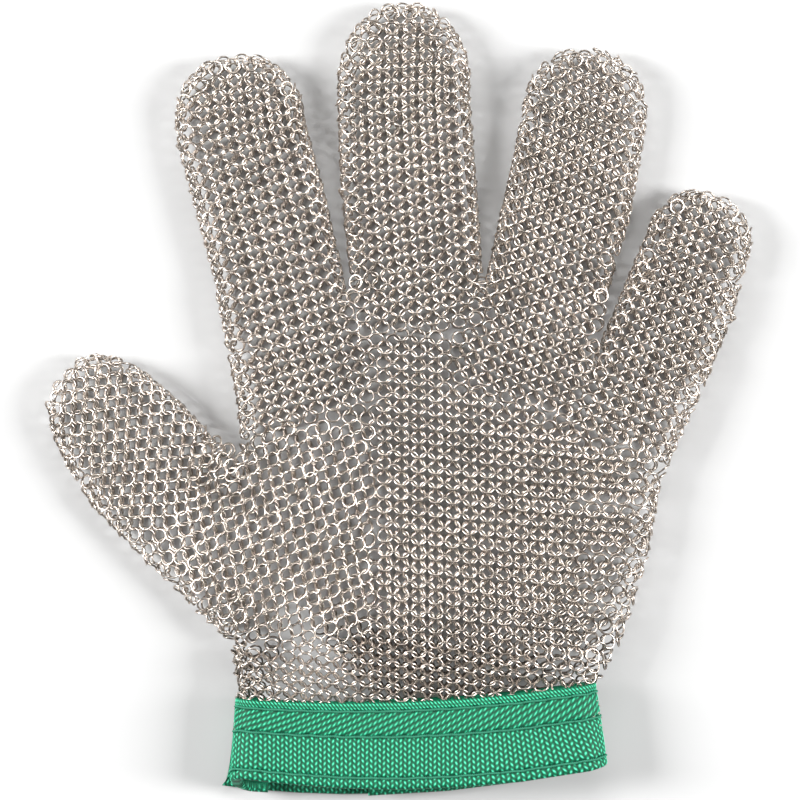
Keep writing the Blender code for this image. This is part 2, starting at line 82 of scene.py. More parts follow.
MM = 0.001
RANDOM = np.random.default_rng(11)
UP = np.array((0.0, 0.0, 1.0))
UPWARD, DOWN = Vector((0, 0, 1)), Vector((0, 0, -1))

# Steel rings: each is joined to two rings of the row above and two of the row below.
RING_RADIUS = 1.775  # of the wire's centre line
WIRE_RADIUS = 0.25
RING_SIDES, WIRE_SIDES = 20, 6
PITCH = 4.3  # between rings of one row
ROW_STEP = 1.8
TILT = math.radians(26)  # alternate rows lean opposite ways
MESH_INSET = 1.15  # from the outer face of a CAD wall to the middle of the mesh
EDGE_INSET = 0.3  # the same at the outer edges, where loose rings stand out

# How far each finger's lattice runs below its knuckle line, and the turn of its rows in degrees.
FINGERS = {"index": (32, 0), "middle": (12, 5), "ring": (28, -8), "little": (22, -2)}
SEGMENTS = ("proximal", "middle", "tip")
THUMB_SEGMENTS = ("base", "proximal", "tip")
FINGER_JOINTS = ("knuckle", "middle_joint", "end_joint")
THUMB_JOINTS = ("root", "knuckle", "joint")
GUSSET_INNER_X, GUSSET_TOP_Y = -7, -6  # the thumb's rows run on over the palm up to here
GUSSET_DIRECTION, GUSSET_REACH = (-0.883, 0.469), 84  # of their centre line
HAND_ROWS_SLOPE = math.radians(-5)
HEM_DEPTH = 4  # the mesh runs this far down into the tape
CUFF_ROWS_HEIGHT = 11  # the rows just above the band lie closer and lean more
CUFF_ROW_STEP, CUFF_TILT = 1.42, math.radians(40)
HAND_ANCHOR_X, HAND_REACH = 6, 120  # of the centre line of the hand's lattice
LONGEST_ROW = 220
FINGER_HALF_WIDTH = 18.5
EDGE_SAMPLE = 5.0  # heights are read at least this far inside the edge
CLOSEST = 2.0  # two rings nearer than this are one ring too many
GAP_RADIUS = 2.35  # a place with no ring this near is a hole in the mesh
NEIGHBOUR, CROWDED, RELAX_STEPS = 3.0, 2.5, 3
SAME_LAYER = 0.2  # the least that the normals of two rings of one layer agree
SLIT_SHOWS = 7.0  # the slit is open where the lowest surface is higher than this
TURN_HALF = 4.0  # half the height of the edge that the mesh turns round
FOLD_STEPS = (1.5, 3.0, 4.5, 6.5)  # how far beside an open fold its two walls are looked for
HAND_MIDDLE, HEM_MIDDLE = 5.5, 10.6  # heights at which the outer edges are looked for
JITTER, GUSSET_JITTER = 0.06, 0.15  # how much single rings lean out of line
GUSSET_LEAN = 1.3
GUSSET_MARGIN = 10  # the gusset reaches this far to the left of the thumb's root
BACK_PAINTED_SHADE, GUSSET_SHADE = 0.5, 0.72  # highest brightness of the rings there: lower on the back layer as painted shade, and lower in the gusset
DULL = 0.25  # the shade of plain unpolished steel
CUFF_PAINTED_SHADOW = 14  # the back's rings carry near-black painted shadow, for the shade inside the glove, up to this far above the band
PALM_SPLIT_Y = -30  # the sheets of palm and back are each made as two pieces

# Each piece of mesh crosses one joint at most, and bends between these distances in metres.
JOINT_OF_PART = {"knuckle": "knuckle", "middle": "middle_joint", "tip": "end_joint"}
THUMB_JOINT_OF_PART = {"knuckle": "thumb_knuckle", "tip": "thumb_joint"}
FOLD_BEFORE, FOLD_AFTER = 0.006, 0.008
ROOT_BEFORE, ROOT_AFTER = 0.005, 0.0035

# The wrist band.
TAPE_THICK = 0.8
CLOTH_STEP = 0.25  # between the points that carry the weave
COARSE_STEP = 1.0
WRIST_CORNER = 5.2
BAND_DEPTH = 3.3  # through both layers and the hem between them
FLARE_LEFT, FLARE_RIGHT = 1.6, 3.0  # how much the band widens from its top edge to its foot
FLARE_FROM, FLARE_TO = -33.0, 20.0  # it does so outside these places
END_SPARE = 0.05  # how much short of the CAD band's ends the tape ends
SLIT_PLACE = 12  # a place inside the slit, from the strap's left end
FAR = 200.0  # farther than the glove reaches
FOLD_ROUND = 1.1  # radius of the fold at the foot
SLOT_FLOOR = 2.2  # from the foot up to the inside of the fold
LIP = 0.3  # height of the tape's rounded top edge
STITCH_SHARES = (0.10, 0.395, 0.87)  # of the way from the top edge to the foot
RIB, BEAD = 1.3, 0.9  # the diagonal ribs above the middle stitching
RIB_SLOPE, RIB_FAN = math.radians(27), math.radians(8)  # they steepen towards the right
BEAD_SLANT, LIP_SLANT = 0.577, 0.8
LOW_RIB, LOW_BEAD = 1.05, 1.4  # the upright ribs below it
LOW_SLANT, LOW_LEAN = 0.9, 0.25  # of their beads, and of the ribs at the right
CREST = 0.7  # below 1 the ribs are flatter on top
RELIEF, RELIEF_LEVEL = 0.3, 0.6  # height of the weave, and the share of it below the tape's face
CHANNEL_DEPTH, CHANNEL_WIDTH = 0.3, 0.55
THREAD_RADIUS = 0.3
THREAD_TWIST, THREAD_WANDER = 1.1, 0.07
STITCH = 5.9  # length of one stitch
STITCH_DIP = 0.75
HOLE_LENGTH, HOLE_WIDTH, HOLE_DEPTH = 0.75, 0.35, 0.45
STRAND_OFFSET, STRAND_SIZE = 0.55, 0.62  # of a thread's two strands, in its radius

# The strap, the bar tack and the press stud.
STRAP_STEP, STRAP_ROWS, STRAP_RELIEF = 0.3, 76, 0.22
STRAP_LEAN, STRAP_LEAN_REACH = 2.2, 4.8  # the root's end leans in towards its top
STRAP_BEND = 0.005  # in metres
TACK_STEP, TACK_HALF, TACK_RADIUS = 0.28, 0.85, 0.2
TACK_DIP, TACK_REST = 0.45, 0.25
TURN_STEPS = 72

# The floor and the world, in metres.
FLOOR_HALF = 1.1
WORLD_LIGHT, BACKDROP_SHADE = 0.05, 0.8

joints = {joint["name"]: joint for joint in frame["joints"]}


# ---- joints ----
def flat(vector):
    return np.array((vector[0], vector[1], 0.0))


def unit(vector):
    return vector / np.linalg.norm(vector)


def joint_place(name):
    return flat(joints[name]["pos_m"]) / MM


def beyond(name):
    """The level direction across a joint's axis, towards the tip of the finger."""
    axis = joints[name]["axis"]
    return unit(np.array((-axis[1], axis[0], 0.0)))


# ---- the outline of the CAD solids ----
FINGER_NODES = [f"{finger}_{segment}" for finger in FINGERS for segment in SEGMENTS]
THUMB_NODES = [f"thumb_{segment}" for segment in THUMB_SEGMENTS]
MESH_NODES = ["palm_mesh", "back_mesh", *THUMB_NODES, *FINGER_NODES]


def node_faces(names):
    """The corners, in millimetres, and the triangles of some CAD nodes."""
    corners, faces = [], []
    for name in names:
        mesh = frame["nodes"][name].data
        mesh.calc_loop_triangles()
        first = len(corners)
        corners += [vertex.co / MM for vertex in mesh.vertices]
        faces += [[first + v for v in triangle.vertices] for triangle in mesh.loop_triangles]
    return corners, faces


class Outline:
    """The glove seen from above: what it covers, its heights, and how far its edge is.
    The open folds between two segments of a finger count as covered."""

    SKY = 100.0

    def __init__(self, nodes):
        self.solid = BVHTree.FromPolygons(*node_faces(nodes))
        corners, sides = [], []
        for node in nodes:
            points, faces = node_faces([node])
            axes = fold_directions(node)
            upright = [face for face in faces if self.is_edge([points[v] for v in face], axes)]
            sides += [[len(corners) + v for v in face] for face in upright]
            corners += points
        self.sides = BVHTree.FromPolygons(corners, sides)

    def is_edge(self, face, axes):
        """Whether a triangle stands upright and faces out of the glove, and not into a fold."""
        a, b, c = face
        normal = (b - a).cross(c - a)
        if normal.length < 1e-9 or abs(normal.normalized().z) > 0.5:
            return False
        outward = np.array((normal.x, normal.y, 0.0))
        centre = (a + b + c) / 3
        beside = np.array((centre.x, centre.y, 0.0)) + outward / np.linalg.norm(outward) * 0.7
        return not any(self.covers(beside, axis) for axis in axes)

    def heights(self, place, along=None):
        """The lowest and highest point over a place, or None where the glove isn't."""
        found = self.solid.ray_cast(Vector((place[0], place[1], self.SKY)), DOWN)[0]
        if along is None:
            if found is None:
                return None
            below = Vector((place[0], place[1], -self.SKY))
            return self.solid.ray_cast(below, UPWARD)[0].z, found.z
        sides = [
            [self.heights(place + along * step * sign) for step in FOLD_STEPS] for sign in (-1, 1)
        ]
        if found is None and not all(any(side) for side in sides):
            return None
        known = [heights for side in sides for heights in side if heights]
        if found is not None:
            known.append(self.heights(place))
        return min(low for low, _ in known), max(high for _, high in known)

    def covers(self, place, along):
        return self.heights(place, along) is not None

    def edge(self, place, along):
        """How far inside the outer edge a place is, and the level direction out to that edge."""
        height = HEM_MIDDLE if place[1] < band_top + 2 else HAND_MIDDLE
        found, normal, _, _ = self.sides.find_nearest(Vector((place[0], place[1], height)))
        away = np.array((normal.x, normal.y, 0.0))
        step = np.array((found.x - place[0], found.y - place[1], 0.0))
        inside = self.covers(place, along)
        distance = np.linalg.norm(step)
        if distance > 0.3:
            away = step if inside else -step
        return (distance if inside else -distance), away / np.linalg.norm(away)


band_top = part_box("cuff_band")[1].y / MM


def fold_directions(node):
    """The level directions across the folds beside a node."""
    if node in ("palm_mesh", "back_mesh"):
        return [beyond("thumb_root"), beyond("middle_knuckle")]
    finger, _, segment = node.partition("_")
    if finger == "thumb":
        first, folds = THUMB_SEGMENTS.index(segment), THUMB_JOINTS
    else:
        first, folds = SEGMENTS.index(segment), FINGER_JOINTS
    return [beyond(f"{finger}_{fold}") for fold in folds[first:first + 2]]


outline = Outline(MESH_NODES)
back_layer = BVHTree.FromPolygons(*node_faces(["back_mesh"]))


# ---- where the lattices lie ----
def tip_place(node, direction):
    corners = np.array([vertex.co for vertex in frame["nodes"][node].data.vertices]) / MM
    along = corners @ direction
    return flat(corners[along > along.max() - 0.5].mean(0))


class Lattice:
    """Rows of rings across a centre line. Places along it are measured from its start."""

    def __init__(self, name, places, turn=0.0):
        self.name = name
        self.places = places
        self.turn = turn
        self.shift = 0.0  # of the columns, sideways
        steps = [np.linalg.norm(b - a) for a, b in zip(places, places[1:])]
        self.marks = np.concatenate(([0.0], np.cumsum(steps)))

    def at(self, along):
        index = int(np.clip(np.searchsorted(self.marks, along) - 1, 0, len(self.places) - 2))
        direction = unit(self.places[index + 1] - self.places[index])
        return self.places[index] + direction * (along - self.marks[index])

    def direction(self, along):
        return unit(self.at(along + 5) - self.at(along - 5))

    def across(self, along):
        x, y, _ = self.direction(along)
        cosine, sine = math.cos(self.turn), math.sin(self.turn)
        return np.array((y * cosine + x * sine, y * sine - x * cosine, 0.0))

    def offset(self, place):
        """How far along the centre line a place is, and how far beside it."""
        best = (0.0, 1e9)
        last = len(self.places) - 2
        for index in range(last + 1):
            start, end = self.places[index], self.places[index + 1]
            direction = unit(end - start)
            along = (place - start) @ direction
            low = -1e9 if index == 0 else 0.0
            high = 1e9 if index == last else np.linalg.norm(end - start)
            beside = place - start - direction * np.clip(along, low, high)
            if np.linalg.norm(beside) < best[1]:
                best = (self.marks[index] + along, np.linalg.norm(beside))
        return best


def finger_lattice(finger, reach, turn):
    knuckle = joint_place(f"{finger}_knuckle")
    middle = joint_place(f"{finger}_middle_joint")
    end = joint_place(f"{finger}_end_joint")
    foot = knuckle - unit(middle - knuckle) * reach
    tip = tip_place(f"{finger}_tip", beyond(f"{finger}_end_joint"))
    return Lattice(finger, [foot, knuckle, middle, end, tip], math.radians(turn))


def thumb_lattice():
    knuckle = joint_place("thumb_knuckle")
    foot = knuckle - np.array(GUSSET_DIRECTION + (0.0,)) * GUSSET_REACH
    end = joint_place("thumb_joint")
    return Lattice("thumb", [foot, knuckle, end, tip_place("thumb_tip", beyond("thumb_joint"))])


def hand_lattice():
    start = np.array((HAND_ANCHOR_X, band_top - HEM_DEPTH - 4, 0.0))
    return Lattice("hand", [start, start + (0.0, HAND_REACH, 0.0)], HAND_ROWS_SLOPE)


LATTICES = {finger: finger_lattice(finger, *facts) for finger, facts in FINGERS.items()}
LATTICES["thumb"] = thumb_lattice()
LATTICES["hand"] = hand_lattice()
thumb_root = joint_place("thumb_root")


def owner(place):
    """The lattice that a place on the glove belongs to."""
    if place[1] < band_top + CUFF_ROWS_HEIGHT:
        return "hand"
    best, nearest = "hand", FINGER_HALF_WIDTH
    for finger in FINGERS:
        along, beside = LATTICES[finger].offset(place)
        if along >= 0 and beside < nearest:
            best, nearest = finger, beside
    if best != "hand":
        return best
    left_of_palm = place[0] < GUSSET_INNER_X and place[1] < GUSSET_TOP_Y
    return "thumb" if left_of_palm or place[0] < thumb_root[0] - 8 else "hand"


# ---- laying the rings ----
class Ring:
    """One ring: its centre, the surface's normal there, its row's direction and its lean."""

    def __init__(self, lattice, along, side, centre, normal, row, tilt):
        self.lattice = lattice
        self.along = along
        self.side = side
        self.centre = centre
        self.normal = normal
        self.row = row
        self.tilt = tilt


def reach_of_row(centre, across, along):
    """How far the glove goes from a place of the centre line, along its row, or None."""
    for travelled in range(1, LONGEST_ROW):
        place = centre + across * travelled
        if not outline.covers(place, along):
            return travelled + outline.edge(place, along)[0]
    return None


def laid(place, side, along):
    """The point and the normal of the mesh where a place of the unrolled sheet comes to lie."""
    depth, away = outline.edge(place, along)
    depth -= EDGE_INSET
    heights = outline.heights(place - away * max(0.0, EDGE_SAMPLE - depth), along)
    if heights is None:
        return None
    low, high = heights[0] + MESH_INSET, heights[1] - MESH_INSET
    middle, half = (low + high) / 2, (high - low) / 2
    turn = min(max(0.0, half - depth) / half, math.pi / 2)
    base = place - away * max(0.0, half - depth)
    centre = base + away * half * math.sin(turn) + UP * (middle + side * half * math.cos(turn))
    return centre, away * math.sin(turn) + UP * side * math.cos(turn)


def row_direction(normal, across, along, side):
    """The direction of a row where the mesh has turned: level round a finger, or across it."""
    turned = np.cross(along, normal) * side
    if np.linalg.norm(turned) > 0.6:
        return unit(turned)
    return unit(across - normal * (across @ normal))


def lay_row(lattice, along, parity, lean, anywhere):
    """The rings of one row, on both sides of the glove."""
    centre, across, direction = lattice.at(along), lattice.across(along), lattice.direction(along)
    rings = []
    if not outline.covers(centre, direction):
        return rings
    for sign in (-1, 1):
        reach = reach_of_row(centre, across * sign, direction)
        if reach is None:
            continue
        unrolled = reach - EDGE_INSET + (math.pi / 2 - 1) * TURN_HALF - lattice.shift * sign
        pitches = max(1, round(2 * unrolled / PITCH))
        pitch = 2 * unrolled / pitches
        start = 0 if sign > 0 or parity else 1
        for index in range(start, pitches):
            beside = (index + parity / 2) * pitch
            if beside > unrolled + 0.05:
                break
            place = centre + across * (sign * beside + lattice.shift)
            for side in (1, -1):
                found = laid(place, side, direction)
                if found is None:
                    continue
                point, normal = found
                if anywhere and outline.heights(point) is None:
                    continue
                if not anywhere and owner(flat(point)) != lattice.name:
                    continue
                if side < 0 and in_slit(point):
                    continue
                row = row_direction(normal, across, direction, side)
                tilt = lean * (1 if parity else -1)
                rings.append(Ring(lattice.name, along, side, point, normal, row, tilt))
    return rings


def in_slit(place):
    """Whether a place lies over the slit in the back of the wrist."""
    heights = outline.heights(place)
    if heights is None or heights[0] <= SLIT_SHOWS:
        return False
    below = Vector((place[0], place[1], -Outline.SKY))
    return back_layer.ray_cast(below, UPWARD)[0] is None


def best_shift(lattice):
    """Moves the columns sideways so that both edges fall on a ring, as near as may be."""
    middle = lattice.marks[len(lattice.marks) // 2]
    centre, across = lattice.at(middle), lattice.across(middle)
    direction = lattice.direction(middle)
    reaches = [reach_of_row(centre, across * sign, direction) for sign in (-1, 1)]
    errors = {}
    for shift in (0.0, PITCH / 4):
        widths = [2 * (reach - shift * sign) / PITCH for reach, sign in zip(reaches, (-1, 1))]
        errors[shift] = sum(abs(width - round(width)) for width in widths)
    return min(errors, key=errors.get)


def lay_lattice(lattice, anywhere=False):
    """The rings of all rows. With anywhere, also where another lattice should lie."""
    rings = []
    along, parity = 0.0, 0
    cuff_end = band_top + CUFF_ROWS_HEIGHT - 1
    while along < lattice.marks[-1] + 3:
        near_cuff = lattice.name == "hand" and lattice.at(along)[1] < cuff_end
        rings += lay_row(lattice, along, parity, CUFF_TILT if near_cuff else TILT, anywhere)
        along += CUFF_ROW_STEP if near_cuff else ROW_STEP
        parity = 1 - parity
    return rings


class Cells:
    """Rings by the small cube of space that their centre lies in."""

    def __init__(self, size):
        self.size = size
        self.cells = {}

    def key(self, place):
        return tuple(int(math.floor(value / self.size)) for value in place)

    def add(self, ring):
        self.cells.setdefault(self.key(ring.centre), []).append(ring)

    def near(self, ring, reach):
        """The rings of the same layer within a distance of a ring."""
        x, y, z = self.key(ring.centre)
        steps = (-1, 0, 1)
        for key in ((x + i, y + j, z + k) for i in steps for j in steps for k in steps):
            for other in self.cells.get(key, ()):
                apart = np.linalg.norm(other.centre - ring.centre)
                if other is not ring and apart < reach and other.normal @ ring.normal > SAME_LAYER:
                    yield other, apart


def keep_apart(rings, kept, reach):
    """Adds each ring that is at least a distance from all the rings kept so far."""
    for ring in rings:
        if not any(True for _ in kept.near(ring, reach)):
            kept.add(ring)


def relax(rings):
    """Eases crowded rings apart along the mesh, where two lattices meet."""
    for _ in range(RELAX_STEPS):
        cells = Cells(NEIGHBOUR)
        for ring in rings:
            cells.add(ring)
        moves = []
        for ring in rings:
            push = np.zeros(3)
            for other, apart in cells.near(ring, CROWDED):
                push += (ring.centre - other.centre) / max(apart, 0.1) * (CROWDED - apart) / 2
            moves.append(push - ring.normal * (push @ ring.normal))
        for ring, move in zip(rings, moves):
            ring.centre = ring.centre + move


def all_rings():
    """Each lattice lays its own region, then each fills the holes left where regions meet."""
    kept = Cells(NEIGHBOUR)
    for lattice in LATTICES.values():
        lattice.shift = best_shift(lattice)
        keep_apart(lay_lattice(lattice), kept, CLOSEST)
    for lattice in LATTICES.values():
        keep_apart(lay_lattice(lattice, anywhere=True), kept, GAP_RADIUS)
    rings = [ring for members in kept.cells.values() for ring in members]
    for ring in rings:
        ring.lattice = owner(flat(ring.centre))
        ring.along = LATTICES[ring.lattice].offset(flat(ring.centre))[0]
    relax(rings)
    return rings


rings = all_rings()


# ---- ring meshes ----
def ring_points(ring):
    """The corners of one ring's mesh."""
    along = np.cross(ring.normal, ring.row)
    tilt, jitter = ring.tilt, JITTER
    if in_gusset(ring):
        tilt, jitter = tilt * GUSSET_LEAN, GUSSET_JITTER
    facing = ring.normal * math.cos(tilt) + along * math.sin(tilt)
    facing = unit(facing + RANDOM.normal(0, jitter, 3))
    first = unit(ring.row - facing * (ring.row @ facing))
    second = np.cross(facing, first)
    turns = np.arange(RING_SIDES) * 2 * np.pi / RING_SIDES + RANDOM.uniform(0, 1)
    out = np.cos(turns)[:, None] * first + np.sin(turns)[:, None] * second
    around = np.arange(WIRE_SIDES) * 2 * np.pi / WIRE_SIDES
    line = ring.centre + out * RING_RADIUS
    wire = np.cos(around)[None, :, None] * out[:, None, :] + np.sin(around)[None, :, None] * facing
    return (line[:, None, :] + wire * WIRE_RADIUS).reshape(-1, 3)


def tube_faces(rounds, sides, closed=False):
    """Quads between rounds of points. When closed, the last round joins the first."""
    faces = []
    for i in range(rounds if closed else rounds - 1):
        a, b = i * sides, (i + 1) % rounds * sides
        for j in range(sides):
            k = (j + 1) % sides
            faces.append((a + j, b + j, b + k, a + k))
    return faces


RING_FACES = np.array(tube_faces(RING_SIDES, WIRE_SIDES, closed=True))


def in_gusset(ring):
    """Whether a ring lies in the left of the palm, where the thumb's rows run on."""
    return ring.lattice == "thumb" and ring.centre[0] > thumb_root[0] - GUSSET_MARGIN


def shade_of(ring, chance):
    """How bright a ring is, from 0 to 1, with a random tone. The back layer's rings are darker as painted
    shade, those near the band near black as painted shadow, and those in the gusset darker too.
    """
    # painted shadow: the back's rings near the band take the darkest colour
    if ring.side < 0 and ring.centre[1] < band_top + CUFF_PAINTED_SHADOW:
        return 0.0
    most = BACK_PAINTED_SHADE if ring.side < 0 else GUSSET_SHADE if in_gusset(ring) else 1.0
    return DULL + (1 - DULL) * most * chance


def placed(name, data):
    """A new object of the scene."""
    piece = bpy.data.objects.new(name, data)
    bpy.context.scene.collection.objects.link(piece)
    return piece


def make_rings(name, rings, material):
    """One mesh of many whole rings, each with a shade of its own: a random tone, with painted shade on the
    back layer.
    """
    points = np.concatenate([ring_points(ring) for ring in rings]) * MM
    per_ring = RING_SIDES * WIRE_SIDES
    faces = (RING_FACES[None] + np.arange(len(rings))[:, None, None] * per_ring).reshape(-1, 4)
    mesh = bpy.data.meshes.new(name)
    mesh.vertices.add(len(points))
    mesh.vertices.foreach_set("co", points.astype(np.float32).ravel())
    mesh.loops.add(faces.size)
    mesh.loops.foreach_set("vertex_index", faces.astype(np.int32).ravel())
    mesh.polygons.add(len(faces))
    mesh.polygons.foreach_set("loop_start", np.arange(0, faces.size, 4, dtype=np.int32))
    mesh.update(calc_edges=True)
    mesh.shade_smooth()
    shade = mesh.attributes.new("ring_shade", "FLOAT", "POINT")
    chances = RANDOM.uniform(0, 1, len(rings))
    shades = [shade_of(ring, chance) for ring, chance in zip(rings, chances)]
    shade.data.foreach_set("value", np.repeat(shades, per_ring).astype(np.float32))
    mesh.materials.append(material)
    piece = placed(name, mesh)
    return piece


def keep_rings_whole(piece):
    """Gives all corners of a ring the same share of the bend, so that it moves as rigid wire."""
    shares = piece.data.attributes["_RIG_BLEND"].data
    values = np.zeros(len(shares), np.float32)
    shares.foreach_get("value", values)
    per_ring = RING_SIDES * WIRE_SIDES
    means = values.reshape(-1, per_ring).mean(1)
    shares.foreach_set("value", np.repeat(means, per_ring).astype(np.float32))


def node_material(name):
    material = bpy.data.materials.new(name)
    material.use_nodes = True
    nodes = material.node_tree.nodes
    return material, nodes, material.node_tree.links, nodes["Principled BSDF"]


def math_node(nodes, operation, *values):
    """A math node with values for its second input and those after it."""
    node = nodes.new("ShaderNodeMath")
    node.operation = operation
    for place, value in enumerate(values, 1):
        node.inputs[place].default_value = value
    return node


def ramp_node(nodes, *stops):
    """A colour ramp through stops of (position, colour)."""
    ramp = nodes.new("ShaderNodeValToRGB")
    elements = ramp.color_ramp.elements
    for element, (position, color) in zip(elements, (stops[0], stops[-1])):
        element.position, element.color = position, (*color, 1)
    for position, color in stops[1:-1]:
        elements.new(position).color = (*color, 1)
    return ramp


def noise_node(nodes, scale):
    noise = nodes.new("ShaderNodeTexNoise")
    noise.inputs["Scale"].default_value = scale
    return noise


def uneven_roughness(nodes, links, shader, noise, least, most):
    roughness = nodes.new("ShaderNodeMapRange")
    roughness.inputs["To Min"].default_value = least
    roughness.inputs["To Max"].default_value = most
    links.new(noise.outputs["Fac"], roughness.inputs["Value"])
    links.new(roughness.outputs["Result"], shader.inputs["Roughness"])


def steel_material():
    material, nodes, links, shader = node_material("ring_steel")
    shade = nodes.new("ShaderNodeAttribute")
    shade.attribute_name = "ring_shade"
    # The darkest stop is painted shadow, reached only by the back's rings near the band; from dull to polish
    # the rings vary at random.
    painted_shadow, dull, polish = (0.03, 0.025, 0.02), (0.24, 0.21, 0.18), (0.62, 0.55, 0.49)
    ramp = ramp_node(nodes, (0, painted_shadow), (DULL, dull), (1, polish))
    noise = noise_node(nodes, 900)
    mix = math_node(nodes, "MULTIPLY_ADD", 0.5 * (1 - DULL))
    links.new(noise.outputs["Fac"], mix.inputs[0])
    links.new(shade.outputs["Fac"], mix.inputs[2])
    links.new(mix.outputs["Value"], ramp.inputs["Fac"])
    links.new(ramp.outputs["Color"], shader.inputs["Base Color"])
    uneven_roughness(nodes, links, shader, noise, 0.22, 0.42)
    shader.inputs["Metallic"].default_value = 1.0
    return material


STEEL = steel_material()


def group_of(ring):
    """The piece that a ring belongs to: each crosses one joint at most."""
    if ring.lattice == "hand":
        face = "palm" if ring.side > 0 else "back"
        return f"{face}_rings_{'upper' if ring.centre[1] > PALM_SPLIT_Y else 'lower'}"
    if ring.lattice == "thumb":
        place = flat(ring.centre)
        root, knuckle, end = (
            (place - joint_place(name)) @ beyond(name)
            for name in ("thumb_root", "thumb_knuckle", "thumb_joint")
        )
        if root + knuckle < 0:
            return "gusset_rings_palm" if ring.side > 0 else "gusset_rings_back"
        return "thumb_rings_knuckle" if knuckle + end < 0 else "thumb_rings_tip"
    lattice = LATTICES[ring.lattice]
    middle = (lattice.marks[1:-1] + lattice.marks[2:]) / 2
    part = int(np.searchsorted(middle[:2], ring.along))
    return f"{ring.lattice}_rings_{('knuckle', 'middle', 'tip')[part]}"


def joint_of(name):
    """The joint that a piece of mesh bends over, or None where it stays flat."""
    place, _, part = name.partition("_rings_")
    if place in ("palm", "back"):
        return None
    if place == "gusset":
        return "thumb_root"
    return THUMB_JOINT_OF_PART[part] if place == "thumb" else f"{place}_{JOINT_OF_PART[part]}"


groups = {}
for ring in rings:
    groups.setdefault(group_of(ring), []).append(ring)
for name, members in groups.items():
    piece = make_rings(name, members, STEEL)
    joint = joint_of(name)
    if joint is None:
        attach(piece, "hand")
        continue
    facts, forward = joints[joint], beyond(joint)
    middle = np.array(facts["pos_m"])
    at_root = joint == "thumb_root"
    start = middle - forward * (ROOT_BEFORE if at_root else FOLD_BEFORE)
    end = middle + forward * (ROOT_AFTER if at_root else FOLD_AFTER)
    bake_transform(piece, facts["parent"], facts["child"], start, end)
    keep_rings_whole(piece)
first = bpy.data.objects[next(iter(groups))]
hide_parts(*MESH_NODES)


# ---- the wrist band ----
# The folded tape is one grid of points: rows follow its section from the top edge down the
# outer face, round the fold and up the inner face, and columns follow it round the wrist.
band_low, band_high = (np.array(corner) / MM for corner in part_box("cuff_band"))
side_left, side_right = band_low[0] + FLARE_LEFT, band_high[0] - FLARE_RIGHT
band_solid = BVHTree.FromPolygons(*node_faces(["cuff_band"]))


def hit(solid, place, direction):
    """Where a ray from a place meets a solid, or None."""
    found = solid.ray_cast(Vector(place), Vector(direction))[0]
    return None if found is None else np.array(found)


def wrist_line():
    """Places round the wrist, seen along the arm: (x, z, and the way out), from slit to slit."""
    low, high = band_low[2], band_high[2]
    gap_left, gap_right = slit_sides()
    bend_left, bend_right = side_left + WRIST_CORNER, side_right - WRIST_CORNER
    places = [(x, low, 0.0, -1.0) for x in np.arange(gap_right, bend_right, COARSE_STEP)]
    places += wrist_bend(bend_right, -90)
    places += [(x, high, 0.0, 1.0) for x in np.arange(bend_right, bend_left, -COARSE_STEP)]
    places += wrist_bend(bend_left, 90)
    places += [(x, low, 0.0, -1.0) for x in np.arange(bend_left, gap_left, COARSE_STEP)]
    places.append((gap_left, low, 0.0, -1.0))
    return places


def wrist_bend(x, start):
    """A half turn of the wrist line, about two corners one above the other."""
    places = []
    low, high = band_low[2] + WRIST_CORNER, band_high[2] - WRIST_CORNER
    for angle in np.radians(np.linspace(start, start + 180, 19)[1:-1]):
        out = (math.cos(angle), math.sin(angle))
        middle = low + (high - low) * (0.5 + 0.5 * np.sign(round(out[1], 6)))
        places.append((x + WRIST_CORNER * out[0], middle + WRIST_CORNER * out[1], *out))
    return places


def slit_sides():
    """The two ends of the tape beside the slit, found along the foot of its back."""
    y, z = (band_low[1] + band_high[1]) / 2, band_low[2] + TAPE_THICK / 2
    middle = (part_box("strap_tail")[0].x / MM + SLIT_PLACE, y, z)
    left, right = hit(band_solid, middle, (-1, 0, 0))[0], hit(band_solid, middle, (1, 0, 0))[0]
    return left - END_SPARE, right + END_SPARE


def tape_edges(x, z, out):
    """The top edge and the foot of the tape at a place of the wrist line."""
    ends = []
    for share, depth, far, direction in ((0.05, TAPE_THICK, FAR, -1), (0.95, BAND_DEPTH, -FAR, 1)):
        place = (x + widening(x, share) - out[0] * depth / 2, far, z - out[1] * depth / 2)
        ends.append(hit(band_solid, place, (0, direction, 0))[1])
    return ends


def widening(x, share):
    """How far the sides of the band stand out, at a share of the way from its top to its foot."""
    to_left = np.clip((FLARE_FROM - x) / (FLARE_FROM - side_left), 0.0, 1.0)
    to_right = np.clip((x - FLARE_TO) / (side_right - FLARE_TO), 0.0, 1.0)
    return share * (to_right * FLARE_RIGHT - to_left * FLARE_LEFT)


class Band:
    """The tape's edges at even steps round the wrist."""

    def __init__(self):
        line = wrist_line()
        known = []
        for x, z, *out in line:
            known.append((x, z, *out, *tape_edges(x, z, out)))
        known = np.array(known)
        steps = np.hypot(np.diff(known[:, 0]), np.diff(known[:, 1]))
        marks = np.concatenate(([0.0], np.cumsum(steps)))
        self.length = marks[-1]
        self.marks = np.linspace(0.0, self.length, round(self.length / CLOTH_STEP) + 1)
        self.columns = np.stack([np.interp(self.marks, marks, column) for column in known.T], 1)
        self.columns[:, 2:4] /= np.linalg.norm(self.columns[:, 2:4], axis=1)[:, None]
        front = self.columns[:, 3] > 0.9
        self.middle = self.marks[front].mean()
        self.half_front = np.ptp(self.marks[front]) / 2

    def outward(self):
        """The level and upright parts of the way out from the wrist, in all columns."""
        return np.stack((self.columns[:, 2], 0 * self.marks, self.columns[:, 3]), 1)

    def places(self, down, depth):
        """Points of all columns, some way below the top edge and in from the outer face."""
        x, z, out_x, out_z, top, foot = self.columns.T
        y = top - down
        spread = widening(x, down / (top - foot))
        return np.stack((x + spread - out_x * depth, y, z - out_z * depth), 1)


def wave(phase):
    """A rounded bead profile between 0 and 1, once for each whole step of its phase."""
    return 0.5 + 0.5 * np.cos(2 * np.pi * phase)


